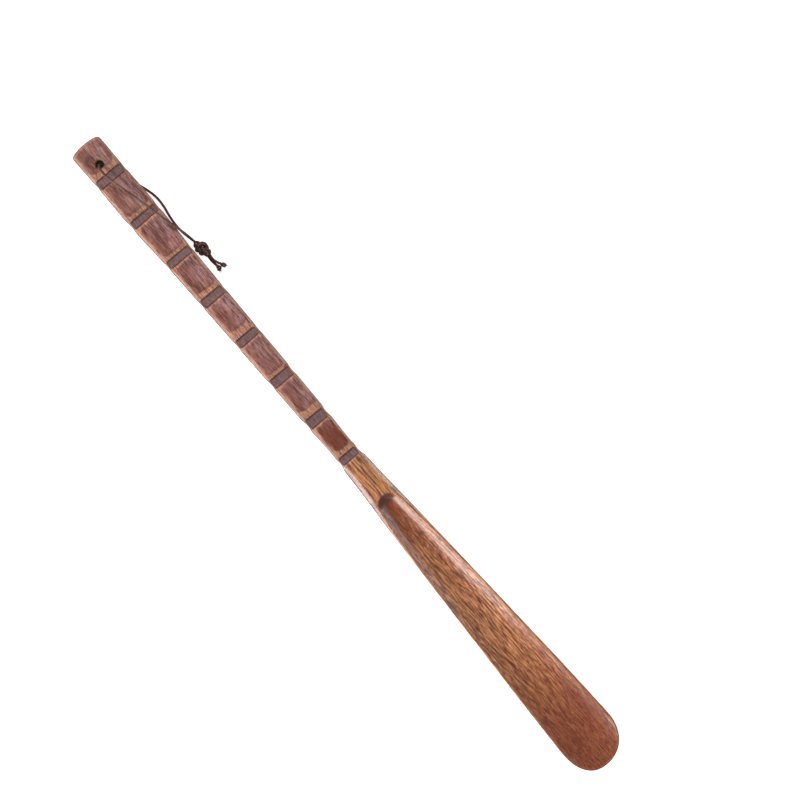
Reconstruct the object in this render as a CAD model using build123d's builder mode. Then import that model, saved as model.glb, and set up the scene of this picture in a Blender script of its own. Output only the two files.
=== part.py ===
from build123d import *
import os
from math import pi, radians, sqrt, tan

# Long wooden shoehorn with a tied cord loop, lying on its back with the scoop up.
# Millimetres. +X runs from the handle end to the blade tip, +Y is the side the cord
# lies on, +Z is up. The origin is on the table under the middle of the wooden body.
# Places along the body are given as distances from the handle end.

LENGTH = 550.0
ORIGIN_FROM_END = LENGTH / 2

# The body's cross-sections: distance from the handle end, half width, height of the
# back, height of the front, width of the bevelled front edges, half width of the flat
# sole, and how full the flank and the sole edge are (0 round, 1 square).
BODY_STATIONS = (
    (-3.0, 11.6, 5.22, 16.0, 3.2, 7.2, 0.62, 0.62),
    (20.0, 11.75, 3.67, 14.95, 3.2, 7.2, 0.62, 0.62),
    (45.0, 11.95, 2.30, 14.30, 3.2, 7.2, 0.62, 0.62),
    (70.0, 11.75, 1.25, 13.55, 3.2, 7.0, 0.62, 0.62),
    (95.0, 10.75, 0.50, 12.85, 3.2, 6.2, 0.62, 0.62),
    (125.0, 10.20, 0.00, 12.40, 3.2, 5.8, 0.62, 0.62),
    (155.0, 9.85, -0.15, 12.10, 3.2, 5.6, 0.62, 0.62),
    (190.0, 9.45, -0.15, 11.80, 3.2, 5.3, 0.62, 0.62),
    (225.0, 9.00, -0.15, 11.40, 3.1, 5.0, 0.62, 0.62),
    (255.0, 8.45, -0.15, 10.95, 3.0, 4.6, 0.62, 0.62),
    (272.0, 8.20, -0.12, 10.60, 3.0, 4.4, 0.60, 0.60),
    (282.0, 9.05, -0.11, 10.50, 3.9, 4.4, 0.58, 0.59),
    (292.0, 9.55, -0.10, 10.42, 4.6, 4.4, 0.56, 0.58),
    (306.0, 10.25, -0.08, 10.35, 4.6, 4.2, 0.50, 0.56),
    (326.0, 11.60, -0.05, 10.28, 3.2, 3.8, 0.42, 0.54),
    (353.0, 13.05, 0.00, 9.95, 1.6, 3.2, 0.34, 0.52),
    (380.0, 14.50, 0.00, 9.40, 0.9, 2.6, 0.30, 0.50),
    (410.0, 16.05, 0.00, 8.65, 0.8, 2.0, 0.28, 0.50),
    (445.0, 17.75, 0.05, 7.75, 0.8, 1.8, 0.28, 0.50),
    (475.0, 19.25, 0.65, 7.75, 0.8, 1.8, 0.28, 0.50),
    (500.0, 20.25, 2.05, 8.85, 0.8, 1.8, 0.28, 0.50),
    (524.0, 21.05, 4.25, 11.05, 0.8, 1.8, 0.28, 0.50),
    (540.0, 21.15, 6.10, 12.95, 0.8, 1.8, 0.28, 0.50),
    (556.0, 21.15, 8.40, 15.25, 0.8, 1.8, 0.28, 0.50),
)
BEVEL_DROP = 0.64
BEVEL_ROUNDING = 0.40
BEVEL_ROUNDING_MOST = 1.28

# The scoop: distance from the handle end, half width at the rim, height of its floor.
SCOOP_STATIONS = (
    (320.0, 8.0, 6.80),
    (333.0, 9.5, 6.15),
    (353.0, 11.3, 5.10),
    (380.0, 13.2, 4.05),
    (410.0, 14.9, 3.60),
    (445.0, 16.6, 3.35),
    (475.0, 18.1, 3.65),
    (500.0, 19.1, 4.80),
    (524.0, 19.9, 6.85),
    (540.0, 20.0, 8.60),
    (556.0, 20.0, 10.80),
)
SCOOP_OVERRUN = 0.8
TOOL_CLEARANCE = 6.0
TOOL_HALF_SPAN = 20.0
TOOL_HEIGHT = 40.0

# Ends of the body in plan. The tip's nose is a little to the -Y side.
TIP_START = 524.0
TIP_HALF_WIDTH = 21.0
TIP_SIDE_HANDLE = 15.5
TIP_NOSE_HANDLE = 12.8
TIP_NOSE_SIDEWAYS = -2.0
END_CROWN = 1.6
END_REACH = 13.0
END_EDGE_RADIUS = 1.5

# Grip notches: where each starts and ends on the front face, and on the back face. The
# sides are nicked in beside each front notch by the depths listed.
FRONT_NOTCHES = (
    (25.5, 31.6), (61.1, 66.4), (97.4, 102.7), (132.2, 138.1),
    (168.5, 174.0), (203.7, 210.2), (240.0, 247.0), (274.4, 279.7),
)
BACK_NOTCHES = (
    (25.8, 31.0), (60.4, 65.6), (94.0, 102.4), (132.1, 137.3),
    (167.6, 172.8), (202.5, 207.7), (240.1, 245.3), (272.6, 277.2),
)
FRONT_NOTCH_DEPTH = 1.1
BACK_NOTCH_DEPTH = 0.7
NOTCH_WALL_LEAN = 0.4
NOTCH_TOOL_DEPTHS = 3.0
NICK_DEPTHS = (0.40, 0.45, 0.35, 0.35, 0.35, 0.50, 0.60, 0.75)
NICK_LENGTH = 9.0

# Hang hole.
HOLE_FROM_END = 17.4
HOLE_RADIUS = 2.75
HOLE_RIM_RADIUS = 3.5
HOLE_RIM_DEPTH = 0.7
HOLE_RIM_OVERRUN = 1.4

# Cord, and the points its two strands and two tails pass through: distance from the
# handle end, sideways place, height of the cord's centre.
CORD_DIAMETER = 1.5
TABLE_LEVEL = CORD_DIAMETER / 2
MIDDLE_OF_HOLE = (HOLE_FROM_END, -0.4, 9.4)
FRONT_ROUTE = (
    MIDDLE_OF_HOLE, (HOLE_FROM_END, -0.4, 12.5), (17.7, -1.0, 15.4), (19.3, -1.8, 17.4),
    (22.6, -2.2, 18.2), (28.0, -1.8, 18.4), (37.0, 0.1, 18.1), (50.0, 3.7, 17.3),
    (62.0, 6.7, 16.4), (73.0, 9.1, 15.5), (81.5, 11.3, 13.9), (88.0, 13.0, 10.8),
    (93.5, 14.1, 7.2), (98.5, 14.7, 4.3),
)
REAR_ROUTE = (
    MIDDLE_OF_HOLE, (HOLE_FROM_END, -0.4, 6.3), (17.6, -0.1, 3.5), (19.0, 0.6, 1.5),
    (22.6, 2.2, TABLE_LEVEL), (28.5, 5.1, TABLE_LEVEL), (38.0, 8.8, TABLE_LEVEL),
    (48.0, 12.3, TABLE_LEVEL), (56.5, 14.6, TABLE_LEVEL), (65.0, 14.5, TABLE_LEVEL),
    (74.0, 12.7, TABLE_LEVEL), (82.5, 12.0, 0.9), (90.5, 13.0, 1.6), (98.5, 14.9, 2.5),
)
TAIL_A_ROUTE = ((111.0, 15.3, 1.9), (114.2, 15.0, 1.3), (117.6, 15.2, 0.9), (120.9, 15.9, 1.1))
TAIL_B_ROUTE = ((111.0, 16.7, 3.2), (114.4, 16.2, 2.7), (117.8, 16.9, 1.9), (121.0, 18.7, 1.3))

# Knots: the main knot's two lobes, and the stopper knot on each tail.
# Each lobe is an egg: middle, half length, half thickness, turn in plan.
KNOT_LOBES = (((102.1, 15.4, 3.4), 4.1, 3.4, 12.0), ((108.4, 16.5, 3.0), 4.5, 3.0, 12.0))
TAIL_KNOT_A = ((122.1, 15.8, 1.5), 1.9, 1.5, -20.0)
TAIL_KNOT_B = ((122.4, 19.5, 1.5), 1.9, 1.5, 30.0)

BEND_SHARE = 0.45

os.makedirs("parts", exist_ok=True)


def place(from_end, sideways=0.0, height=0.0):
    """A point of the body, from its distance to the handle end."""
    return Vector(from_end - ORIGIN_FROM_END, sideways, height)


def across(from_end):
    """The cross-section plane at a distance from the handle end: X is +Y, Y is +Z."""
    return Plane(origin=place(from_end), x_dir=(0, 1, 0), z_dir=(1, 0, 0))


def measure(from_end, column):
    """A column of the body's stations, read between two of them."""
    for low, high in zip(BODY_STATIONS, BODY_STATIONS[1:]):
        if low[0] <= from_end <= high[0]:
            share = (from_end - low[0]) / (high[0] - low[0])
            return low[column] + share * (high[column] - low[column])
    raise ValueError(from_end)


HALF_WIDTH, BACK, FRONT = 1, 2, 3


def body_section(half_width, back, front, bevel, sole, flank_full, sole_full):
    """One closed cross-section: flat front, softened bevels, flank, flat sole."""
    drop = bevel * BEVEL_DROP
    shoulder = front - drop
    top = half_width - bevel
    pull_in = min(bevel * BEVEL_ROUNDING, BEVEL_ROUNDING_MOST)
    pull_up = pull_in * BEVEL_DROP
    flank = flank_full * (shoulder - back)
    spread = sole_full * (half_width - sole)
    Line((-top, front), (top, front))
    Bezier((top, front), (top + pull_in, front), (half_width, shoulder + pull_up),
           (half_width, shoulder))
    Bezier((half_width, shoulder), (half_width, shoulder - flank), (sole + spread, back), (sole, back))
    Line((sole, back), (-sole, back))
    Bezier((-sole, back), (-sole - spread, back), (-half_width, shoulder - flank),
           (-half_width, shoulder))
    Bezier((-half_width, shoulder), (-half_width, shoulder + pull_up), (-top - pull_in, front),
           (-top, front))


def scoop_circle(half_width, rim, floor):
    """Radius and centre height of the arc through both rims and the scoop's floor."""
    depth = rim - floor
    radius = (half_width**2 + depth**2) / (2 * depth)
    return radius, floor + radius


def scoop_reach(half_width, rim, floor):
    """Half width and height of the scoop's arc where it has run on above the rim."""
    radius, centre = scoop_circle(half_width, rim, floor)
    height = min(rim + SCOOP_OVERRUN, centre)
    return sqrt(radius**2 - (centre - height) ** 2), height


def notch_profile(start, end, face, into, depth):
    """Side view of one notch: a flat floor under the face, with leaning walls."""
    near = measure(start, face) + into * depth
    far = measure(end, face) + into * depth
    tall = into * depth * NOTCH_TOOL_DEPTHS
    lean = NOTCH_WALL_LEAN * NOTCH_TOOL_DEPTHS
    points = [(start, near), (end, far), (end + lean, far - tall), (start - lean, near - tall)]
    Polyline(*[(x - ORIGIN_FROM_END, z) for x, z in points], close=True)


def bend_radii(points):
    """For each corner, the radius that 0.45 of its shorter run leaves room for."""
    radii = []
    for before, corner, after in zip(points, points[1:], points[2:]):
        run_in, run_out = corner - before, after - corner
        half_turn = radians(run_in.get_angle(run_out)) / 2
        radii.append(BEND_SHARE * min(run_in.length, run_out.length) / tan(half_turn))
    return radii


# --- wooden body -------------------------------------------------------------------
with BuildPart() as wooden_body:
    for station in BODY_STATIONS:
        with BuildSketch(across(station[0])):
            with BuildLine():
                body_section(*station[1:])
            make_face()
    loft()

    # The two ends in plan: a crowned handle end and a round tip.
    with BuildSketch(Plane.XY.offset(-TOOL_CLEARANCE)):
        with BuildLine():
            tip = LENGTH - ORIGIN_FROM_END
            tip_side = TIP_START - ORIGIN_FROM_END
            end = -ORIGIN_FROM_END
            wide = 2 * TIP_HALF_WIDTH
            nose = TIP_NOSE_SIDEWAYS
            Bezier((tip_side, TIP_HALF_WIDTH), (tip_side + TIP_SIDE_HANDLE, TIP_HALF_WIDTH),
                   (tip, nose + TIP_NOSE_HANDLE), (tip, nose))
            Bezier((tip, nose), (tip, nose - TIP_NOSE_HANDLE),
                   (tip_side + TIP_SIDE_HANDLE, -TIP_HALF_WIDTH), (tip_side, -TIP_HALF_WIDTH))
            Polyline((tip_side, -TIP_HALF_WIDTH), (tip_side, -wide), (end + END_CROWN, -wide),
                     (end + END_CROWN, -END_REACH))
            ThreePointArc((end + END_CROWN, -END_REACH), (end, 0), (end + END_CROWN, END_REACH))
            Polyline((end + END_CROWN, END_REACH), (end + END_CROWN, wide), (tip_side, wide),
                     (tip_side, TIP_HALF_WIDTH))
        make_face()
    extrude(amount=TOOL_HEIGHT, mode=Mode.INTERSECT)

    # The sole is planed flat where the handle lies on the table.
    split(bisect_by=Plane.XY, keep=Keep.TOP)

with BuildPart() as scoop_tool:
    for from_end, half_width, floor in SCOOP_STATIONS:
        rim = measure(from_end, FRONT)
        reach, height = scoop_reach(half_width, rim, floor)
        with BuildSketch(across(from_end)):
            with BuildLine():
                ThreePointArc((-reach, height), (0, floor), (reach, height))
                Polyline((reach, height), (reach, rim + TOOL_CLEARANCE),
                         (-reach, rim + TOOL_CLEARANCE), (-reach, height))
            make_face()
    loft()

with BuildPart() as scoop_start_tool:
    from_end, half_width, floor = SCOOP_STATIONS[0]
    rim = measure(from_end, FRONT)
    reach, height = scoop_reach(half_width, rim, floor)
    radius, centre = scoop_circle(half_width, rim, floor)
    middle = from_end - ORIGIN_FROM_END
    with BuildSketch(Plane.XZ):
        with BuildLine():
            Polyline((middle, floor), (middle, rim + TOOL_CLEARANCE),
                     (middle + reach, rim + TOOL_CLEARANCE), (middle + reach, height))
            RadiusArc((middle + reach, height), (middle, floor), radius)
        make_face()
    revolve(axis=Axis(place(from_end), (0, 0, 1)))

with BuildPart() as notch_tools:
    for into, face, depth, notches in (
        (-1, FRONT, FRONT_NOTCH_DEPTH, FRONT_NOTCHES),
        (1, BACK, BACK_NOTCH_DEPTH, BACK_NOTCHES),
    ):
        for start, finish in notches:
            with BuildSketch(Plane.XZ):
                with BuildLine():
                    notch_profile(start, finish, face, into, depth)
                make_face()
            extrude(amount=TOOL_HALF_SPAN, both=True)

with BuildPart() as nick_tools:
    for (start, finish), nick_depth in zip(FRONT_NOTCHES, NICK_DEPTHS):
        centre = (start + finish) / 2
        nick_radius = NICK_LENGTH**2 / (8 * nick_depth)
        offset = measure(centre, HALF_WIDTH) - nick_depth + nick_radius
        for side in (-1, 1):
            with Locations(place(centre, side * offset, measure(centre, FRONT))):
                Cylinder(nick_radius, TOOL_HEIGHT)

with BuildPart() as hole_tool:
    back_face, front_face = measure(HOLE_FROM_END, BACK), measure(HOLE_FROM_END, FRONT)
    low, high = back_face - HOLE_RIM_OVERRUN, front_face + HOLE_RIM_OVERRUN
    flare = (HOLE_RIM_RADIUS - HOLE_RADIUS) / HOLE_RIM_DEPTH
    mouth = HOLE_RIM_RADIUS + flare * HOLE_RIM_OVERRUN
    hole_x = HOLE_FROM_END - ORIGIN_FROM_END
    with BuildSketch(Plane.XZ):
        with BuildLine():
            Polyline(
                (hole_x, low), (hole_x + mouth, low),
                (hole_x + HOLE_RADIUS, back_face + HOLE_RIM_DEPTH),
                (hole_x + HOLE_RADIUS, front_face - HOLE_RIM_DEPTH),
                (hole_x + mouth, high), (hole_x, high), close=True,
            )
        make_face()
    revolve(axis=Axis(place(HOLE_FROM_END), (0, 0, 1)))

with wooden_body:
    end_face = wooden_body.faces().sort_by(Axis.X)[0]
    fillet(end_face.edges(), radius=END_EDGE_RADIUS)
    add(scoop_tool.part, mode=Mode.SUBTRACT)
    add(scoop_start_tool.part, mode=Mode.SUBTRACT)
    add(notch_tools.part, mode=Mode.SUBTRACT)
    add(nick_tools.part, mode=Mode.SUBTRACT)
    add(hole_tool.part, mode=Mode.SUBTRACT)
wooden_body.part.label = "wooden_body"
export_step(wooden_body.part, "parts/wooden_body.step")


# --- cord --------------------------------------------------------------------------
def make_strand(name, route):
    """One stretch of cord: its round section swept along straight runs and arcs."""
    points = [place(*point) for point in route]
    radii = bend_radii(points)
    with BuildPart() as strand:
        with BuildLine() as path:
            FilletPolyline(*points, radius=radii)
        with BuildSketch(Plane(origin=points[0], z_dir=points[1] - points[0])):
            Circle(CORD_DIAMETER / 2)
        sweep(path=path.wires()[0])
    strand.part.label = name
    export_step(strand.part, f"parts/{name}.step")
    section = pi * CORD_DIAMETER**2 / 4
    length = path.wires()[0].length
    print(f"{name}: length {length:.1f} mm, volume over section x length "
          f"{strand.part.volume / (section * length):.4f}, radii "
          + " ".join(f"{radius:.1f}" for radius in radii))


def make_knot(name, lobes):
    """A pulled-tight knot: one or more egg-shaped lobes, each longer than it is thick."""
    with BuildPart() as knot:
        for middle, half_length, half_thickness, turn in lobes:
            origin = place(*middle)
            along = Vector(1, 0, 0).rotate(Axis.Z, turn)
            with BuildSketch(Plane(origin=origin, x_dir=along, z_dir=(0, 0, 1))):
                with BuildLine():
                    Line((-half_length, 0), (half_length, 0))
                    EllipticalCenterArc((0, 0), half_length, half_thickness, start_angle=0, arc_size=180)
                make_face()
            revolve(axis=Axis(origin, along))
    knot.part.label = name
    export_step(knot.part, f"parts/{name}.step")


make_strand("cord_front_strand", FRONT_ROUTE)
make_strand("cord_rear_strand", REAR_ROUTE)
make_strand("cord_tail_a", TAIL_A_ROUTE)
make_strand("cord_tail_b", TAIL_B_ROUTE)
make_knot("cord_knot", KNOT_LOBES)
make_knot("tail_knot_a", (TAIL_KNOT_A,))
make_knot("tail_knot_b", (TAIL_KNOT_B,))
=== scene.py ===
import math

import bmesh
import bpy
import numpy as np
from mathutils import Matrix, Vector, noise


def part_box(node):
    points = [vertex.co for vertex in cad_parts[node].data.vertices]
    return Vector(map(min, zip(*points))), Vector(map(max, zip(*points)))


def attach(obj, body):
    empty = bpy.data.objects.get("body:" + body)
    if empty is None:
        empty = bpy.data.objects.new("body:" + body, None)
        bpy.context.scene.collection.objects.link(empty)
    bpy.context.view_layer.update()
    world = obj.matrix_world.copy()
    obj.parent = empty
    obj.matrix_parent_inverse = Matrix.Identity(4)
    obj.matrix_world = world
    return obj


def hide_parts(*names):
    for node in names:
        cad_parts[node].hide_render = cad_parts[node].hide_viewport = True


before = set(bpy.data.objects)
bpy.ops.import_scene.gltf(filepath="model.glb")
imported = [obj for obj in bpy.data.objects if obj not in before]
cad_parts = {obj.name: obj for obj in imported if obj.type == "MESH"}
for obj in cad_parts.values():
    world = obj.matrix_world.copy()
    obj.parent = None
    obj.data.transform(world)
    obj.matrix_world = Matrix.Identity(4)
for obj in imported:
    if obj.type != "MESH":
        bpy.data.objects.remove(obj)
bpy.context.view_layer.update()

MM = 0.001


# ---------------------------------------------------------------------------------
# The table and the light. The shoehorn lies on a plain white table, seen from
# straight above, between a strong strip light along its near side and a weak one
# along the side the cord lies on.
# ---------------------------------------------------------------------------------
VIEW_LEVEL = 0.008
VIEW_MIDDLE = (-0.0044, 0.0511)
VIEW_WIDTH = 0.5432
VIEW_RIGHT = Vector((0.649, 0.761, 0.0)).normalized()
LENS = 120.0
SENSOR = 36.0

camera_data = bpy.data.cameras.new("camera")
camera_data.lens = LENS
camera_data.sensor_width = SENSOR
camera_data.clip_end = 20.0
camera = bpy.data.objects.new("camera", camera_data)
bpy.context.scene.collection.objects.link(camera)
view_up = Vector((0, 0, 1)).cross(VIEW_RIGHT)
view_height = VIEW_WIDTH * LENS / SENSOR
turn = Matrix((VIEW_RIGHT, view_up, Vector((0, 0, 1)))).transposed()
camera.matrix_world = Matrix.Translation((*VIEW_MIDDLE, view_height + VIEW_LEVEL)) @ turn.to_4x4()
bpy.context.scene.camera = camera


def add_light(name, place, aim, size, watts, colour=(1, 1, 1)):
    """A rectangular soft light at a place, facing another."""
    light_data = bpy.data.lights.new(name, "AREA")
    light_data.shape = "RECTANGLE"
    light_data.size, light_data.size_y = size
    light_data.energy = watts
    light_data.color = colour
    light = bpy.data.objects.new(name, light_data)
    bpy.context.scene.collection.objects.link(light)
    facing = (Vector(place) - Vector(aim)).normalized()
    side = Vector((1, 0, 0))
    up = facing.cross(side).normalized()
    side = up.cross(facing)
    basis = Matrix((side, up, facing)).transposed()
    light.matrix_world = Matrix.Translation(place) @ basis.to_4x4()
    return light


add_light("near_strip", (-0.30, -0.80, 0.40), (-0.30, 0, 0.05), (1.15, 0.55), 17.5, (0.97, 0.98, 1.0))
add_light("far_strip", (-0.06, 0.95, 0.34), (-0.06, 0, 0), (0.50, 0.46), 4.4, (0.95, 0.97, 1.0))
add_light("top_box", (-0.75, -0.1, 1.7), (0, 0, 0), (0.9, 0.9), 5.0)

world = bpy.data.worlds.new("pale_room")
bpy.context.scene.world = world
world.use_nodes = True
world.node_tree.nodes["Background"].inputs["Color"].default_value = (1, 1, 1, 1)
world.node_tree.nodes["Background"].inputs["Strength"].default_value = 0.34
bpy.context.scene.view_settings.view_transform = "Standard"

TABLE_REACH = 4.0
TABLE_TOP = -0.00005
table_corners = [(x, y, TABLE_TOP) for x, y in (
    (-TABLE_REACH, -TABLE_REACH), (TABLE_REACH, -TABLE_REACH),
    (TABLE_REACH, TABLE_REACH), (-TABLE_REACH, TABLE_REACH))]
table_mesh = bpy.data.meshes.new("table")
table_mesh.from_pydata(table_corners, [], [(0, 1, 2, 3)])
table = bpy.data.objects.new("table", table_mesh)
bpy.context.scene.collection.objects.link(table)
table_white = bpy.data.materials.new("table_white")
table_white.use_nodes = True
table_shader = table_white.node_tree.nodes["Principled BSDF"]
table_shader.inputs["Base Color"].default_value = (0.93, 0.93, 0.93, 1)
table_shader.inputs["Roughness"].default_value = 0.9
table_shader.inputs["Emission Color"].default_value = (1, 1, 1, 1)
table_shader.inputs["Emission Strength"].default_value = 0.75
table_mesh.materials.append(table_white)


# ---------------------------------------------------------------------------------
# A small dark card on the table under the hang hole, a painted shadow hidden by the handle
# from above, so that the hole looks as deep as it is and doesn't glow with the white table.
# ---------------------------------------------------------------------------------
HOLE_FROM_END = 17.4
SHADE_RADIUS = 6.5
SHADE_HEIGHT = 0.05
shade_mesh = bmesh.new()
shade_at = (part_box("wooden_body")[0].x + HOLE_FROM_END * MM, 0, SHADE_HEIGHT * MM)
bmesh.ops.create_circle(shade_mesh, cap_ends=True, segments=48, radius=SHADE_RADIUS * MM,
                        matrix=Matrix.Translation(shade_at))
shade = bpy.data.objects.new("shade", bpy.data.meshes.new("shade"))
shade_mesh.to_mesh(shade.data)
shade_mesh.free()
bpy.context.scene.collection.objects.link(shade)
shade_black = bpy.data.materials.new("shade_black")
shade_black.use_nodes = True
shade_shader = shade_black.node_tree.nodes["Principled BSDF"]
shade_shader.inputs["Base Color"].default_value = (0.012, 0.008, 0.006, 1)
shade.data.materials.append(shade_black)


# ---------------------------------------------------------------------------------
# Wooden body: one piece of hardwood, carved, stained reddish brown and lacquered.
# The handle's front is cut across by grip notches with flat, rough floors, and the
# blade is hollowed with a round-nosed gouge. Edges are sanded back to lighter wood.
# ---------------------------------------------------------------------------------
# Places are in millimetres from the handle end, and lengths and widths in millimetres.
BODY_LENGTH = 550
NOTCHES = (
    (25.5, 31.6), (61.1, 66.4), (97.4, 102.7), (132.2, 138.1),
    (168.5, 174.0), (203.7, 210.2), (240.0, 247.0), (274.4, 279.7),
)
BACK_NOTCHES = (
    (25.8, 31.0), (60.4, 65.6), (94.0, 102.4), (132.1, 137.3),
    (167.6, 172.8), (202.5, 207.7), (240.1, 245.3), (272.6, 277.2),
)
WORN_BEFORE_NOTCH = (4.6, 3.4, 3.0, 3.9, 6.2, 2.8, 5.8, 4.0)
WORN_AFTER_NOTCH = (0.3, 2.0, 1.4, 1.6, 1.2, 1.6, 1.4)
HANDLE_END_MARGIN = 1.9
HANDLE_FRONT_END = 306.0
NECK_START = 284.0
HOLLOW_START = 311.0
HOLLOW_FLOOR_START = 322.0
# The handle end's half width, and how far its corners are rounded.
HANDLE_END_HALF_WIDTH = 11.7
CORNER_ROUND = 4.2
# Dark marks in the hollow: place along, place across, half length, half width.
DARK_MARKS = ((349.0, 3.9, 1.6, 1.9), (403.0, -13.2, 9.0, 1.3), (332.0, -7.0, 4.0, 0.8))
VOXEL = 0.00052

body_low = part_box("wooden_body")[0]


def remeshed(node, voxel):
    """An even mesh of a CAD node."""
    source = bpy.data.objects.new("blank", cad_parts[node].data.copy())
    bpy.context.scene.collection.objects.link(source)
    even = source.modifiers.new("even", "REMESH")
    even.mode = "VOXEL"
    even.voxel_size = voxel
    even.use_smooth_shade = True
    depsgraph = bpy.context.evaluated_depsgraph_get()
    mesh = bpy.data.meshes.new_from_object(source.evaluated_get(depsgraph))
    bpy.data.objects.remove(source)
    return mesh


def read_points(mesh):
    points = np.empty(len(mesh.vertices) * 3)
    mesh.vertices.foreach_get("co", points)
    return points.reshape(-1, 3)


def read_normals(mesh):
    normals = np.empty(len(mesh.vertices) * 3)
    mesh.vertex_normals.foreach_get("vector", normals)
    return normals.reshape(-1, 3)


def read_edges(mesh):
    edges = np.empty(len(mesh.edges) * 2, dtype=np.int64)
    mesh.edges.foreach_get("vertices", edges)
    return edges.reshape(-1, 2)


def write_points(mesh, points):
    mesh.vertices.foreach_set("co", points.ravel())
    mesh.update()


def neighbour_mean(values, edges):
    """The mean of each point's neighbours."""
    columns = values.reshape(len(values), -1)
    here = np.concatenate([edges[:, 0], edges[:, 1]])
    there = np.concatenate([edges[:, 1], edges[:, 0]])
    count = np.bincount(here, minlength=len(values))
    sums = [np.bincount(here, column[there], len(values)) / count for column in columns.T]
    return np.stack(sums, axis=1).reshape(values.shape)


def ramp(values, start, end):
    """0 before start, 1 after end, and a smooth rise between."""
    t = np.clip((values - start) / (end - start), 0, 1)
    return t * t * (3 - 2 * t)


def sanded(mesh, rounds, crease_degrees):
    """Smooth the surface, but leave its cut edges nearly as they are."""
    points, edges = read_points(mesh), read_edges(mesh)
    normals = read_normals(mesh)
    bend = np.degrees(np.arccos(np.clip((normals[edges[:, 0]] * normals[edges[:, 1]]).sum(1), -1, 1)))
    sharp = np.zeros(len(points))
    np.maximum.at(sharp, edges[:, 0], bend)
    np.maximum.at(sharp, edges[:, 1], bend)
    free = 1 - ramp(sharp, crease_degrees * 0.7, crease_degrees)
    for _ in range(2):
        free = np.minimum(free, neighbour_mean(free, edges) * 1.1)
    free = np.clip(free, 0.06, 1)[:, None]
    for _ in range(rounds):
        points += 0.5 * free * (neighbour_mean(points, edges) - points)
        points -= 0.48 * free * (neighbour_mean(points, edges) - points)
    write_points(mesh, points)


def rounded_box(x, y, half_x, half_y, corner):
    """Distance outside a rounded rectangle about the origin, negative inside."""
    qx = np.abs(x) - half_x + corner
    qy = np.abs(y) - half_y + corner
    outside = np.hypot(np.maximum(qx, 0), np.maximum(qy, 0))
    return outside + np.minimum(np.maximum(qx, qy), 0) - corner


def ripple(along, side, height, scale_along, scale_across, shift=0.0):
    """Smooth random waves over the wood, about -1 to 1."""
    return np.array([
        noise.noise(Vector((a * scale_along + shift, b * scale_across, c * scale_across)))
        for a, b, c in zip(along, side, height)
    ])


def fair_surface(along, across, height, chosen):
    """The smooth surface that fits the chosen points, read at every point."""
    u = (along - along[chosen].mean()) / 120
    v = across**2
    terms = np.stack([u**i * v**j for i in range(7) for j in range(5)], axis=1)
    weights = np.linalg.lstsq(terms[chosen], height[chosen], rcond=None)[0]
    return terms @ weights


body_mesh = remeshed("wooden_body", VOXEL)
sanded(body_mesh, 20, 20.0)

points = read_points(body_mesh)
normals = read_normals(body_mesh)
along = (points[:, 0] - body_low.x) / MM
side = points[:, 1] / MM
height = points[:, 2] / MM
up = normals[:, 2]
facing_up = ramp(up, 0.35, 0.8)

# The plan's half width, the handle front's height and the blade rim's height, all read
# off the body itself.
slices = np.arange(BODY_LENGTH + 1)
slice_of = np.clip(along.astype(int), 0, BODY_LENGTH)
widest = np.zeros(BODY_LENGTH + 1)
np.maximum.at(widest, slice_of, np.abs(side))
half_width = np.interp(along, slices + 0.5, widest)
highest = np.zeros(BODY_LENGTH + 1)
np.maximum.at(highest, slice_of, height)
rim_height = np.interp(along, slices + 0.5, highest)
on_panel = (np.abs(side) < 4) & (along > 4) & (along < HANDLE_FRONT_END) & (up > 0.9)
for start, end in NOTCHES:
    on_panel &= (along < start - 1.5) | (along > end + 1.5)
front_fit = np.polyfit(along[on_panel] / 300, height[on_panel], 6)
front = np.polyval(front_fit, np.minimum(along, HANDLE_FRONT_END) / 300)
on_front = facing_up * (height > 0.5 * front) * (along < NECK_START)

# The hollow and the back of the blade are faired, as scraping and sanding leave them.
share_out = side / half_width
depth = rim_height - height
hollow = (along > HOLLOW_FLOOR_START) & (up > 0.4) & (depth > 0.35) & (np.abs(share_out) < 0.96)
faired = fair_surface(along, share_out, height, hollow)
blended = ramp(along, HOLLOW_FLOOR_START, HOLLOW_FLOOR_START + 6) * ramp(depth, 0.35, 0.9)
height += np.where(hollow, blended * (faired - height), 0)
blade_back = (along > 330) & (up < -0.3) & (np.abs(share_out) < 0.93)
faired = fair_surface(along, share_out, height, blade_back)
blended = ramp(along, 330, 340) * ramp(-up, 0.3, 0.5)
height += np.where(blade_back, blended * (faired - height), 0)

# The handle end's corners are rounded over in plan.
corner = np.clip(CORNER_ROUND - along, 0, CORNER_ROUND)
limit = HANDLE_END_HALF_WIDTH - CORNER_ROUND + np.sqrt(CORNER_ROUND**2 - corner**2)
inner = HANDLE_END_HALF_WIDTH - 1.6 * CORNER_ROUND
beyond = np.clip((np.abs(side) - inner) / (HANDLE_END_HALF_WIDTH - inner), 0, 1)
side -= np.sign(side) * beyond * (HANDLE_END_HALF_WIDTH - limit)
points[:, 1] = side * MM
points[:, 2] = height * MM
write_points(body_mesh, points)
normals = read_normals(body_mesh)

waver = ripple(along, side, height, 0.12, 0.35, 11.0)
grain_cut = ripple(along, side, height, 0.035, 0.16)
chatter = ripple(along, side, height, 0.9, 1.1, 5.0)
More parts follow.
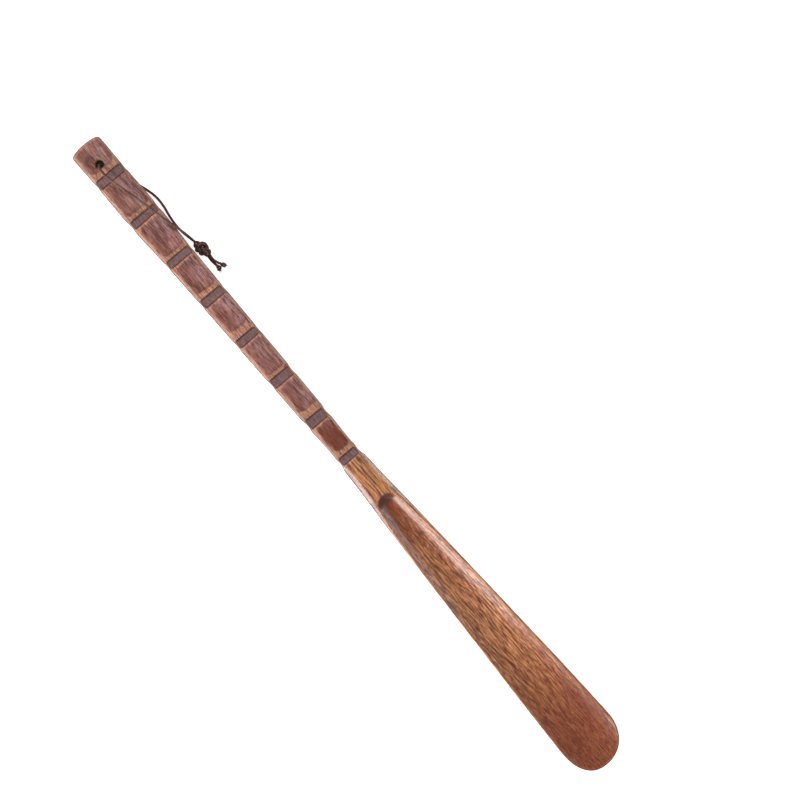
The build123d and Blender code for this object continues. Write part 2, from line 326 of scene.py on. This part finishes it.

# Each notch on the front: its floor, a painted shadow line round its cut, and the sanded slopes.
floor = np.zeros(len(points))
notch_shadow_line = np.zeros(len(points))
slope = np.zeros(len(points))
for (start, end), worn_length in zip(NOTCHES, WORN_BEFORE_NOTCH):
    middle, half_long = (start + end) / 2, (end - start) / 2
    edge = rounded_box(along - middle, side, half_long, half_width - 1.2, 1.3)
    floor = np.maximum(floor, (1 - ramp(edge, -0.45, 0.15)) * ramp(front - height, 0.35, 0.75))
    notch_shadow_line = np.maximum(notch_shadow_line, 1 - ramp(np.abs(edge + 0.1), 0.15, 0.60))
    before = ramp(along, start - worn_length, start) * (along <= start + 0.1)
    after = (1 - ramp(along, end, end + 2.2)) * (along >= end - 0.1)
    slope = np.maximum(slope, np.maximum(before, 0.55 * after))
floor *= on_front
notch_shadow_line *= on_front
on_back = ramp(-up, 0.35, 0.8) * (height < 0.4 * front) * (along < NECK_START)
for start, end in BACK_NOTCHES:
    middle, half_long = (start + end) / 2, (end - start) / 2
    edge = rounded_box(along - middle, side, half_long, half_width - 1.2, 1.3)
    floor = np.maximum(floor, (1 - ramp(edge, -0.45, 0.15)) * ramp(height, 0.30, 0.55) * on_back)
    notch_shadow_line = np.maximum(notch_shadow_line, (1 - ramp(np.abs(edge + 0.1), 0.15, 0.60)) * on_back)

# Each panel between two notches keeps its dark stain inside a round-cornered patch.
starts = [HANDLE_END_MARGIN] + [end + worn for (_, end), worn in zip(NOTCHES, WORN_AFTER_NOTCH)]
ends = [start - worn for (start, _), worn in zip(NOTCHES, WORN_BEFORE_NOTCH)]
stain = np.zeros(len(points))
stain_edge = np.zeros(len(points))
for start, end in zip(starts, ends):
    edge = rounded_box(along - (start + end) / 2, side - 0.6, (end - start) / 2, half_width - 2.1, 3.6)
    edge += 0.9 * waver
    stain = np.maximum(stain, 1 - ramp(edge, -1.1, 0.5))
    near_end = ramp(along, end - 5, end - 1)
    stain_edge = np.maximum(stain_edge, near_end * (1 - ramp(np.abs(edge + 0.5), 0.3, 1.3)))
stain *= on_front
stain_edge *= on_front

# Slow gouge waves all over, slopes sanded down beside the notches, and chatter on their floors.
LOWEST_POINT = 0.00002
push = (0.07 * grain_cut * (1 - 0.7 * ramp(along, 300, 330)) - 0.35 * slope * on_front * (1 - floor)
        + 0.08 * chatter * floor)
points += normals * (push * MM)[:, None]
points[:, 2] = np.maximum(points[:, 2], LOWEST_POINT)
write_points(body_mesh, points)

# What the finish needs to know about each place on the wood, 0 to 1.
in_scoop = facing_up * ramp(along, HOLLOW_START, HOLLOW_START + 1) * ramp(rim_height - height, 0.15, 0.6)
# The gouge's end wall: darker pooled stain, and painted shade in the recess.
gouge_end_shade = in_scoop * (1 - ramp(along + 0.25 * np.abs(side), 317.0, 322.5))
gouge_shade = in_scoop * (1 - ramp(along, HOLLOW_FLOOR_START, HOLLOW_FLOOR_START + 50))
rim = facing_up * ramp(along, 316, 330) * (1 - ramp(rim_height - height, 0.25, 0.9))
tilted = ramp(up, 0.35, 0.62) * (1 - ramp(up, 0.90, 0.975))
bevel = tilted * (1 - ramp(along, 312, 345)) * ramp(height, 0.45 * front, 0.6 * front)
# Steep sides: where the dark stain stays, and where painted shade draws a dark outline.
flank_stain_and_shade = np.where(up > 0, 1 - ramp(up, 0.52, 0.80), 1 - ramp(-up, 0.22, 0.62))
neck = facing_up * ramp(along, 279.9, 281.2) * (1 - in_scoop) * (1 - ramp(along, 318, 335))
near_side = 1 - ramp(side, -1, 1)
neck *= 1 - 0.85 * tilted * near_side
before_neck = 1 - ramp(along, NECK_START - 12, NECK_START)
worn_gloss = np.maximum(np.maximum(on_front, bevel) * before_neck, flank_stain_and_shade)
from_hole = np.hypot(along - HOLE_FROM_END, side)
hole_rim = (1 - ramp(from_hole, 3.3, 3.9)) * ramp(from_hole, 2.3, 2.6)
mark = np.zeros(len(points))
for mark_along, mark_side, mark_length, mark_width in DARK_MARKS:
    away = np.hypot((along - mark_along) / mark_length, (side - mark_side) / mark_width)
    mark = np.maximum(mark, in_scoop * (1 - ramp(away + 0.5 * waver, 0.5, 1.2)))

carved_body = bpy.data.objects.new("carved_body", body_mesh)
bpy.context.scene.collection.objects.link(carved_body)


def write_mask(mesh, name, values):
    """Keep a 0 to 1 value for each point, for the finish to read."""
    layer = mesh.attributes.new(name, "FLOAT", "POINT")
    layer.data.foreach_set("value", np.clip(values, 0, 1).astype(np.float32))


write_mask(body_mesh, "notch_floor", floor)
write_mask(body_mesh, "notch_shadow_line", notch_shadow_line)
write_mask(body_mesh, "stain", stain)
write_mask(body_mesh, "sanded_face", np.maximum(on_front, bevel))
write_mask(body_mesh, "bevel", bevel * near_side)
write_mask(body_mesh, "stain_edge", stain_edge)
write_mask(body_mesh, "neck", neck)
write_mask(body_mesh, "gouge_end_shade", gouge_end_shade)
write_mask(body_mesh, "gouge_shade", gouge_shade)
write_mask(body_mesh, "rim", rim)
write_mask(body_mesh, "flank_stain_and_shade", flank_stain_and_shade)
write_mask(body_mesh, "worn_gloss", worn_gloss)
write_mask(body_mesh, "hole_rim", hole_rim)
write_mask(body_mesh, "mark", mark)
write_mask(body_mesh, "lengthwise", along / BODY_LENGTH)
write_mask(body_mesh, "crosswise", 0.5 + 0.5 * side / half_width)


class Finish:
    """A node material being put together."""

    def __init__(self, name):
        self.material = bpy.data.materials.new(name)
        self.material.use_nodes = True
        self.tree = self.material.node_tree
        self.shader = self.tree.nodes["Principled BSDF"]

    def node(self, kind, **settings):
        node = self.tree.nodes.new(kind)
        for key, value in settings.items():
            setattr(node, key, value)
        return node

    def link(self, out, into):
        self.tree.links.new(out, into)

    def mapped(self, scale, shift=(0, 0, 0)):
        """Object coordinates in millimetres, stretched."""
        coordinates = self.node("ShaderNodeTexCoord")
        mapping = self.node("ShaderNodeMapping")
        mapping.inputs["Scale"].default_value = [s / MM for s in scale]
        mapping.inputs["Location"].default_value = shift
        self.link(coordinates.outputs["Object"], mapping.inputs["Vector"])
        return mapping.outputs["Vector"]

    def clouds(self, scale, detail=4.0, roughness=0.55, shift=(0, 0, 0), distortion=0.0):
        """Cloudy noise, drawn out along the grain by a smaller first scale."""
        texture = self.node("ShaderNodeTexNoise")
        texture.inputs["Scale"].default_value = 1.0
        texture.inputs["Detail"].default_value = detail
        texture.inputs["Roughness"].default_value = roughness
        texture.inputs["Distortion"].default_value = distortion
        self.link(self.mapped(scale, shift), texture.inputs["Vector"])
        return texture.outputs["Fac"]

    def mask(self, name):
        """A value kept on the mesh by write_mask."""
        return self.node("ShaderNodeAttribute", attribute_name=name).outputs["Fac"]

    def maths(self, operation, a, b=None, clamp=False):
        node = self.node("ShaderNodeMath", operation=operation, use_clamp=clamp)
        for socket, value in zip(node.inputs, (a, b)):
            if value is None:
                continue
            if isinstance(value, (int, float)):
                socket.default_value = value
            else:
                self.link(value, socket)
        return node.outputs[0]

    def levels(self, value, low, high):
        """Stretch low..high to 0..1, smoothly."""
        node = self.node("ShaderNodeMapRange", interpolation_type="SMOOTHSTEP")
        node.inputs["From Min"].default_value = low
        node.inputs["From Max"].default_value = high
        self.link(value, node.inputs["Value"])
        return node.outputs["Result"]

    def share(self, amount, *values):
        """The product of some 0 to 1 values and a fixed amount."""
        for value in values:
            amount = self.maths("MULTIPLY", value, amount)
        return amount

    def tint(self, share, below, above):
        """One colour laid over another, where share is 1."""
        node = self.node("ShaderNodeMix", data_type="RGBA")
        for socket, value in ((node.inputs[0], share), (node.inputs[6], below), (node.inputs[7], above)):
            if isinstance(value, (int, float)):
                socket.default_value = value
            elif isinstance(value, tuple):
                socket.default_value = (*value, 1.0)
            else:
                self.link(value, socket)
        return node.outputs[2]


wood = Finish("stained_lacquered_wood")
broad = wood.clouds((0.012, 0.15, 0.15), detail=4.0, roughness=0.6, distortion=0.3)
streaks = wood.clouds((0.055, 0.85, 0.85), detail=5.0, roughness=0.72, shift=(3, 1, 5))
grain = wood.clouds((0.13, 1.35, 1.35), detail=4.0, roughness=0.75, shift=(6, 4, 7))
fine = wood.clouds((0.20, 2.4, 2.4), detail=3.0, roughness=0.65, shift=(7, 2, 9))
flecks = wood.clouds((0.09, 1.0, 1.0), detail=3.0, roughness=0.6, shift=(1, 8, 4))
blotch = wood.clouds((0.05, 0.14, 0.14), detail=2.0, shift=(5, 5, 1))
sheen_clouds = wood.clouds((0.10, 0.55, 0.55), detail=5.0, roughness=0.75, shift=(9, 3, 2))
along_body = wood.mask("lengthwise")

# Bare blade: reddish brown heartwood with orange streaks, darker towards the tip.
colour = wood.tint(wood.levels(broad, 0.38, 0.62), (0.225, 0.046, 0.010), (0.450, 0.158, 0.054))
colour = wood.tint(wood.share(0.80, wood.levels(streaks, 0.50, 0.60)), colour, (0.620, 0.270, 0.120))
colour = wood.tint(wood.share(0.85, wood.levels(streaks, 0.48, 0.39)), colour, (0.120, 0.021, 0.006))
colour = wood.tint(wood.share(0.80, wood.levels(grain, 0.51, 0.59)), colour, (0.780, 0.350, 0.150))
colour = wood.tint(wood.share(0.92, wood.levels(grain, 0.49, 0.41)), colour, (0.070, 0.012, 0.004))
tip_shade = wood.levels(along_body, 0.78, 0.95)
colour = wood.tint(wood.share(0.76, tip_shade), colour, (0.185, 0.026, 0.003))
colour = wood.tint(wood.share(0.80, wood.mask("gouge_shade")), colour, (0.205, 0.030, 0.003))
colour = wood.tint(wood.share(0.40, wood.mask("rim")), colour, (0.400, 0.130, 0.040))

# Sanded faces and bevels of the handle, and the lighter neck with its dark streaks.
worn_tone = wood.tint(wood.levels(streaks, 0.38, 0.62), (0.300, 0.130, 0.086), (0.520, 0.275, 0.190))
worn_tone = wood.tint(wood.share(0.5, wood.levels(grain, 0.50, 0.38)), worn_tone, (0.150, 0.050, 0.030))
colour = wood.tint(wood.share(0.85, wood.mask("sanded_face")), colour, worn_tone)
bevel_tone = wood.tint(wood.levels(streaks, 0.38, 0.62), (0.105, 0.034, 0.024), (0.220, 0.088, 0.062))
on_neck = wood.levels(along_body, 0.49, 0.515)
bevel_share = wood.maths("ADD", 0.46, wood.share(0.34, on_neck))
colour = wood.tint(wood.maths("MULTIPLY", bevel_share, wood.mask("bevel")), colour, bevel_tone)
neck_tone = wood.tint(wood.levels(streaks, 0.38, 0.62), (0.300, 0.098, 0.032), (0.620, 0.260, 0.104))
neck_tone = wood.tint(wood.share(0.5, wood.levels(grain, 0.48, 0.38)), neck_tone, (0.160, 0.050, 0.020))
neck_streaks = wood.levels(wood.maths("ADD", broad, wood.share(0.8, streaks)), 0.88, 0.76)
neck_tone = wood.tint(wood.share(0.85, neck_streaks), neck_tone, (0.075, 0.020, 0.012))
colour = wood.tint(wood.share(0.95, wood.mask("neck")), colour, neck_tone)

# The stain left on each panel: purple brown, with a painted greyish sheen that grows towards
# the far side, redder by the neck.
panel_tone = wood.tint(wood.levels(blotch, 0.36, 0.64), (0.110, 0.034, 0.030), (0.250, 0.098, 0.080))
# Painted sheen: a greyish veil on the panels, stronger towards the far side.
sheen_side = wood.levels(wood.maths("ADD", wood.mask("crosswise"), wood.share(0.8, blotch)), 0.66, 1.10)
panel_tone = wood.tint(wood.share(0.90, wood.levels(sheen_clouds, 0.45, 0.58), sheen_side), panel_tone,
                       (0.330, 0.205, 0.220))
panel_tone = wood.tint(wood.share(0.55, wood.levels(grain, 0.52, 0.61)), panel_tone, (0.400, 0.150, 0.080))
panel_tone = wood.tint(wood.share(0.70, wood.levels(grain, 0.49, 0.39)), panel_tone, (0.060, 0.016, 0.014))
by_neck = wood.share(0.86, wood.levels(along_body, 0.41, 0.48))
panel_tone = wood.tint(by_neck, panel_tone, (0.125, 0.019, 0.004))
colour = wood.tint(wood.share(0.92, wood.mask("stain")), colour, panel_tone)
colour = wood.tint(wood.share(0.40, wood.mask("stain_edge")), colour, (0.075, 0.018, 0.012))

# Flanks keep the full dark stain, with painted shade on the steep sides for a dark outline.
# Notch floors are rough and grey, with a painted shadow line round each notch.
colour = wood.tint(wood.share(0.93, wood.mask("flank_stain_and_shade")), colour, (0.042, 0.010, 0.006))
rough_floor = wood.tint(wood.levels(fine, 0.38, 0.62), (0.072, 0.034, 0.036), (0.185, 0.108, 0.114))
colour = wood.tint(wood.share(0.94, wood.mask("notch_floor")), colour, rough_floor)
# Painted shadow along each notch's cut edge.
colour = wood.tint(wood.share(0.75, wood.mask("notch_shadow_line")), colour, (0.026, 0.009, 0.007))
# The gouge's end wall: pooled stain and painted shade.
colour = wood.tint(wood.share(0.80, wood.mask("gouge_end_shade")), colour, (0.080, 0.020, 0.009))
colour = wood.tint(wood.share(0.85, wood.mask("hole_rim")), colour, (0.130, 0.085, 0.030))
colour = wood.tint(wood.share(0.65, wood.mask("mark")), colour, (0.050, 0.022, 0.024))

# Open pores and short dark flecks along the grain.
on_wood = wood.maths("SUBTRACT", 1.0, wood.mask("notch_floor"))
fleck_share = wood.share(0.60, wood.levels(flecks, 0.42, 0.32), on_wood)
colour = wood.tint(fleck_share, colour, (0.065, 0.015, 0.008))
pore_share = wood.share(0.72, wood.levels(fine, 0.46, 0.36), on_wood)
colour = wood.tint(pore_share, colour, (0.050, 0.012, 0.007))
wood.link(colour, wood.shader.inputs["Base Color"])

gloss = wood.maths("ADD", wood.share(0.18, fine), 0.22)
gloss = wood.maths("ADD", gloss, wood.share(0.10, wood.mask("stain")))
gloss = wood.maths("ADD", gloss, wood.share(0.40, wood.mask("notch_floor")), clamp=True)
wood.link(gloss, wood.shader.inputs["Roughness"])
shine = wood.maths("SUBTRACT", 1.0, wood.share(0.6, wood.mask("worn_gloss")))
wood.link(wood.share(0.5, shine), wood.shader.inputs["Specular IOR Level"])
wood.link(wood.share(0.35, shine), wood.shader.inputs["Coat Weight"])
wood.shader.inputs["IOR"].default_value = 1.5
wood.shader.inputs["Coat Roughness"].default_value = 0.2
relief = wood.maths("ADD", wood.share(0.5, fine), wood.share(0.4, streaks))
relief = wood.maths("SUBTRACT", relief, wood.share(0.8, pore_share))
bump = wood.node("ShaderNodeBump")
bump.inputs["Strength"].default_value = 0.3
bump.inputs["Distance"].default_value = 0.00012
wood.link(relief, bump.inputs["Height"])
wood.link(bump.outputs["Normal"], wood.shader.inputs["Normal"])
body_mesh.materials.clear()
body_mesh.materials.append(wood.material)
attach(carved_body, "shoehorn")
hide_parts("wooden_body")


# ---------------------------------------------------------------------------------
# The cord: one length of thin dark waxed cotton cord, braided round. It runs up
# through the hang hole, over the face, and meets its other half beside the handle.
# ---------------------------------------------------------------------------------
# Millimetres. The braid's dips take away from the width that is seen, so it is wound
# a little thicker than the cord is.
SOFT_DIAMETER = 1.8
TABLE_LEVEL = SOFT_DIAMETER / 2
MIDDLE_OF_HOLE = (HOLE_FROM_END, -0.4, 9.4)
FRONT_ROUTE = (
    MIDDLE_OF_HOLE, (HOLE_FROM_END, -0.4, 12.5), (17.7, -1.0, 15.4), (19.3, -1.8, 17.4),
    (22.6, -2.2, 18.2), (28.0, -1.8, 18.4), (37.0, 0.1, 18.1), (50.0, 3.7, 17.3),
    (62.0, 6.7, 16.4), (73.0, 9.1, 15.5), (81.5, 11.3, 13.9), (88.0, 13.0, 10.8),
    (93.5, 14.1, 7.2), (98.5, 14.7, 4.3),
)
REAR_ROUTE = (
    MIDDLE_OF_HOLE, (HOLE_FROM_END, -0.4, 6.3), (17.6, -0.1, 3.5), (19.0, 0.6, 1.5),
    (22.6, 2.2, TABLE_LEVEL), (28.5, 5.1, TABLE_LEVEL), (38.0, 8.8, TABLE_LEVEL),
    (48.0, 12.3, TABLE_LEVEL), (56.5, 14.6, TABLE_LEVEL), (65.0, 14.5, TABLE_LEVEL),
    (74.0, 12.7, TABLE_LEVEL), (82.5, 12.0, 0.9), (90.5, 13.0, 1.6), (98.5, 14.9, 2.5),
)
TAIL_A_ROUTE = ((111.0, 15.3, 1.9), (114.2, 15.0, 1.3), (117.6, 15.2, 0.9), (120.9, 15.9, 1.1))
TAIL_B_ROUTE = ((111.0, 16.7, 3.2), (114.4, 16.2, 2.7), (117.8, 16.9, 1.9), (121.0, 18.7, 1.3))


def from_end(place):
    """A point of the body in metres, from millimetres to the handle end."""
    return Vector((body_low.x + place[0] * MM, place[1] * MM, place[2] * MM))


def route_line(name, route):
    """The smooth line of a stretch of cord, as evenly read points."""
    curve = bpy.data.curves.new(name, "CURVE")
    curve.dimensions = "3D"
    curve.resolution_u = 24
    spline = curve.splines.new("NURBS")
    spline.points.add(len(route) - 1)
    for point, place in zip(spline.points, route):
        point.co = (*from_end(place), 1.0)
    spline.order_u = 3
    spline.use_endpoint_u = True
    holder = bpy.data.objects.new(name, curve)
    bpy.context.scene.collection.objects.link(holder)
    line = bpy.data.meshes.new_from_object(holder)
    points = np.array([vertex.co for vertex in line.vertices])
    bpy.data.objects.remove(holder)
    bpy.data.meshes.remove(line)
    return points


def even_line(points, step):
    """The same line in even steps."""
    reach = np.concatenate([[0], np.cumsum(np.linalg.norm(np.diff(points, axis=0), axis=1))])
    marks = np.linspace(0, reach[-1], max(4, int(reach[-1] / step)))
    return np.stack([np.interp(marks, reach, points[:, i]) for i in range(3)], axis=1)


def braided_tube(name, line, diameter, material, sides=20, step=0.00016):
    """A round braided cord along a line: two sets of strands winding opposite ways."""
    line = even_line(line, step)
    tangent = np.gradient(line, axis=0)
    tangent /= np.linalg.norm(tangent, axis=1)[:, None]
    across = np.cross(tangent[0], (0.3, 0.2, 1.0))
    rings = []
    travelled = 0.0
    for i, (place, direction) in enumerate(zip(line, tangent)):
        across = across - direction * np.dot(across, direction)
        across /= np.linalg.norm(across)
        other = np.cross(direction, across)
        angle = np.linspace(0, 2 * math.pi, sides, endpoint=False)
        if i:
            travelled += np.linalg.norm(place - line[i - 1])
        twist = travelled / (diameter * 2.6) * 2 * math.pi
        left = np.abs(np.sin(2 * angle + twist))
        right = np.abs(np.sin(2 * angle - twist + 0.8))
        radius = diameter / 2 * (0.90 + 0.10 * np.maximum(left, right) ** 1.5)
        ring = place + radius[:, None] * (np.cos(angle)[:, None] * across + np.sin(angle)[:, None] * other)
        rings.append(ring)
    count = len(rings)
    points = np.concatenate(rings)
    faces = []
    for i in range(count - 1):
        for j in range(sides):
            k = (j + 1) % sides
            faces.append((i * sides + j, i * sides + k, (i + 1) * sides + k, (i + 1) * sides + j))
    faces.append(tuple(range(sides))[::-1])
    faces.append(tuple((count - 1) * sides + j for j in range(sides)))
    mesh = bpy.data.meshes.new(name)
    mesh.from_pydata([tuple(p) for p in points], [], faces)
    mesh.shade_smooth()
    mesh.materials.append(material)
    cord = bpy.data.objects.new(name, mesh)
    bpy.context.scene.collection.objects.link(cord)
    return cord


waxed = Finish("waxed_cord")
fuzz = waxed.clouds((2.2, 2.2, 2.2), detail=4.0)
worn = waxed.clouds((0.12, 0.12, 0.12), detail=2.0)
cord_colour = waxed.tint(waxed.levels(fuzz, 0.35, 0.65), (0.042, 0.016, 0.012), (0.140, 0.066, 0.054))
worn_share = waxed.share(0.4, waxed.levels(worn, 0.45, 0.65))
cord_colour = waxed.tint(worn_share, cord_colour, (0.210, 0.125, 0.112))
waxed.link(cord_colour, waxed.shader.inputs["Base Color"])
waxed.shader.inputs["Roughness"].default_value = 0.62
waxed.shader.inputs["Specular IOR Level"].default_value = 0.15
cord_bump = waxed.node("ShaderNodeBump")
cord_bump.inputs["Strength"].default_value = 0.4
cord_bump.inputs["Distance"].default_value = 0.00008
waxed.link(fuzz, cord_bump.inputs["Height"])
waxed.link(cord_bump.outputs["Normal"], waxed.shader.inputs["Normal"])

front_line = route_line("front_route", FRONT_ROUTE)
front_strand = braided_tube("front_strand", front_line, SOFT_DIAMETER * MM, waxed.material)
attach(front_strand, "lanyard")
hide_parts("cord_front_strand")

rear_line = route_line("rear_route", REAR_ROUTE)
rear_strand = braided_tube("rear_strand", rear_line, SOFT_DIAMETER * MM, waxed.material)
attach(rear_strand, "lanyard")
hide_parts("cord_rear_strand")

tail_a_line = route_line("tail_a_route", TAIL_A_ROUTE)
tail_a = braided_tube("tail_a", tail_a_line, SOFT_DIAMETER * MM, waxed.material)
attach(tail_a, "lanyard")
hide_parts("cord_tail_a")

tail_b_line = route_line("tail_b_route", TAIL_B_ROUTE)
tail_b = braided_tube("tail_b", tail_b_line, SOFT_DIAMETER * MM, waxed.material)
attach(tail_b, "lanyard")
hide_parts("cord_tail_b")


# ---------------------------------------------------------------------------------
# Knots: overhand knots pulled tight. The main knot is tied in both halves at once
# and shows as two lobes, and each tail ends in a small one with a frayed end.
# ---------------------------------------------------------------------------------
KNOT_MIDDLE = (104.9, 15.9, 3.3)
KNOT_TURN = 11.0
KNOT_HALF_LENGTH = 5.4
SQUEEZED_DIAMETER = 2.05
# Each end knot's middle, half length and turn, then the thickness of its cord and fibres.
TAIL_KNOT_A = ((122.1, 15.8, 1.5), 1.9, -20.0)
TAIL_KNOT_B = ((122.4, 19.5, 1.5), 1.9, 30.0)
END_KNOT_DIAMETER = 1.3
END_KNOT_SPREAD = 1.2
FIBRE_DIAMETER = 0.2
FIBRES = 16


def pulled_knot(strands, beads, pulls, left_ends, right_ends, floor):
    """Overhand knot tied in one or two strands at once and pulled tight, as bead lines.

    The strands are chains of beads that push each other apart. Lengths are in strand
    diameters, so beads touch at about 1. The ends are pulled apart along X and settle at
    the given places across it.
    """
    spacing, pull, settle, stiffness = 0.48, 0.075, 0.04, 0.25
    touching_squared, pushed_to, push_share = 0.97, 0.985, 0.35
    t = np.linspace(-2.05, 2.05, 400)
    loose = np.stack([t**3 - 3 * t, t**4 - 4 * t**2 + 2, t**5 / 5 - 2 * t], axis=1)
    reach = np.concatenate([[0], np.cumsum(np.linalg.norm(np.diff(loose, axis=0), axis=1))])
    marks = np.linspace(0, reach[-1], beads)
    loose = np.stack([np.interp(marks, reach, loose[:, i]) for i in range(3)], axis=1)
    loose *= spacing * (beads - 1) / reach[-1]
    direction = np.gradient(loose, axis=0)
    beside = np.cross(direction, (0, 0, 1.0))
    beside /= np.linalg.norm(beside, axis=1)[:, None]
    apart = np.array([0.0]) if strands == 1 else np.array([0.5, -0.5])
    line = loose[None] + apart[:, None, None] * beside[None]
    flat = line.reshape(-1, 3)
    one, other = np.triu_indices(len(flat), 1)
    distinct = (one // beads != other // beads) | (np.abs(one - other) > 3)
    one, other = one[distinct], other[distinct]
    way = np.sign(line[:, 0, 0])[0]
    for _ in range(pulls):
        line[:, 0, 0] += way * pull
        line[:, -1, 0] -= way * pull
        left, right = (-1, 0) if way > 0 else (0, -1)
        line[:, left, 1:] += settle * (left_ends - line[:, left, 1:])
        line[:, right, 1:] += settle * (right_ends - line[:, right, 1:])
        for _ in range(5):
            for first in (0, 1):
                after = line[:, first + 1::2]
                before = line[:, first:-1:2][:, :after.shape[1]]
                gap = after - before
                length = np.linalg.norm(gap, axis=2, keepdims=True)
                shift = 0.5 * (length - spacing) / np.maximum(length, 1e-6) * gap
                line[:, first:-1:2][:, :after.shape[1]] += shift
                line[:, first + 1::2] -= shift
            line[:, 1:-1] += stiffness * ((line[:, :-2] + line[:, 2:]) / 2 - line[:, 1:-1])
            gap = flat[other] - flat[one]
            squared = (gap * gap).sum(1)
            touching = np.flatnonzero(squared < touching_squared)
            length = np.sqrt(squared[touching])
            shift = push_share * (pushed_to - length) / np.maximum(length, 1e-6)
            shift = shift[:, None] * gap[touching]
            for axis in range(3):
                flat[:, axis] += np.bincount(other[touching], shift[:, axis], len(flat))
                flat[:, axis] -= np.bincount(one[touching], shift[:, axis], len(flat))
            flat[:, 2] = np.maximum(flat[:, 2], floor)
    return line if way < 0 else line[:, ::-1]


def rounded_line(points, rounds=3):
    """A line with its corners cut again and again."""
    for _ in range(rounds):
        before, after = points[:-1], points[1:]
        inner = np.stack([0.75 * before + 0.25 * after, 0.25 * before + 0.75 * after], axis=1)
        points = np.concatenate([points[:1], inner.reshape(-1, 3), points[-1:]])
    return points


def joined_parts(name, parts):
    """One piece made of several."""
    together = bmesh.new()
    for part in parts:
        together.from_mesh(part.data)
        bpy.data.objects.remove(part)
    mesh = bpy.data.meshes.new(name)
    together.to_mesh(mesh)
    together.free()
    mesh.materials.append(waxed.material)
    piece = bpy.data.objects.new(name, mesh)
    bpy.context.scene.collection.objects.link(piece)
    return piece


def in_plan(line, middle, turn_degrees):
    """A line in millimetres about the origin, turned and put in its place."""
    swing = np.array(Matrix.Rotation(math.radians(turn_degrees), 3, "Z"))
    return line @ swing.T * MM + np.array(from_end(middle))


strand_lines = pulled_knot(
    strands=2, beads=100, pulls=760, floor=-1.55,
    left_ends=np.array([[-0.1, 0.6], [0.1, -0.6]]), right_ends=np.array([[-0.45, -0.45], [0.45, 0.45]]),
) * SQUEEZED_DIAMETER
windings = []
for index, (bead_line, enters, leaves) in enumerate(zip(
        strand_lines, (FRONT_ROUTE[-1], REAR_ROUTE[-1]), (TAIL_A_ROUTE[0], TAIL_B_ROUTE[0]))):
    inside = np.abs(bead_line[:, 0]) < KNOT_HALF_LENGTH
    first, last = np.flatnonzero(inside)[[0, -1]]
    placed = in_plan(bead_line[first:last + 1], KNOT_MIDDLE, KNOT_TURN)
    line = np.concatenate([[from_end(enters)], placed, [from_end(leaves)]])
    windings.append(braided_tube(f"winding_{index}", rounded_line(line), SQUEEZED_DIAMETER * MM,
                                 waxed.material, sides=24))
main_knot = joined_parts("main_knot", windings)
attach(main_knot, "lanyard")
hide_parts("cord_knot")


def end_knot(name, tail_knot, enters, seed):
    """A small tight knot at the end of a tail, with its frayed tuft."""
    middle, half_length, turn_degrees = tail_knot
    random = np.random.default_rng(seed)
    centred = np.zeros((1, 2))
    bead_line = pulled_knot(1, 70, 420, centred, centred, floor=-1.0)[0] * END_KNOT_SPREAD
    inside = np.abs(bead_line[:, 0]) < half_length + 0.1
    first, last = np.flatnonzero(inside)[[0, -1]]
    placed = in_plan(bead_line[first:last + 1], middle, turn_degrees)
    line = rounded_line(np.concatenate([[from_end(enters)], placed]))
    parts = [braided_tube(f"{name}_winding", line, END_KNOT_DIAMETER * MM, waxed.material, sides=16)]
    tip, onward = placed[-1], placed[-1] - placed[-4]
    onward /= np.linalg.norm(onward)
    for index in range(FIBRES):
        splay = random.normal(0, 0.55, (2, 3))
        length = random.uniform(0.8, 1.7) * MM
        root = tip - onward * 0.5 * MM + splay[0] * 0.35 * MM
        bend = root + (onward + 0.35 * splay[1]) * 0.6 * length
        end = bend + (onward + 1.3 * splay[1]) * 0.5 * length
        end[2] = max(end[2], 0.1 * MM)
        fibre = rounded_line(np.array([root, bend, end]), 2)
        parts.append(braided_tube(f"{name}_fibre_{index}", fibre, FIBRE_DIAMETER * MM,
                                  waxed.material, sides=5))
    return joined_parts(name, parts)


end_knot_a = end_knot("end_knot_a", TAIL_KNOT_A, TAIL_A_ROUTE[-1], seed=4)
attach(end_knot_a, "lanyard")
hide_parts("tail_knot_a")

end_knot_b = end_knot("end_knot_b", TAIL_KNOT_B, TAIL_B_ROUTE[-1], seed=9)
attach(end_knot_b, "lanyard")
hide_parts("tail_knot_b")
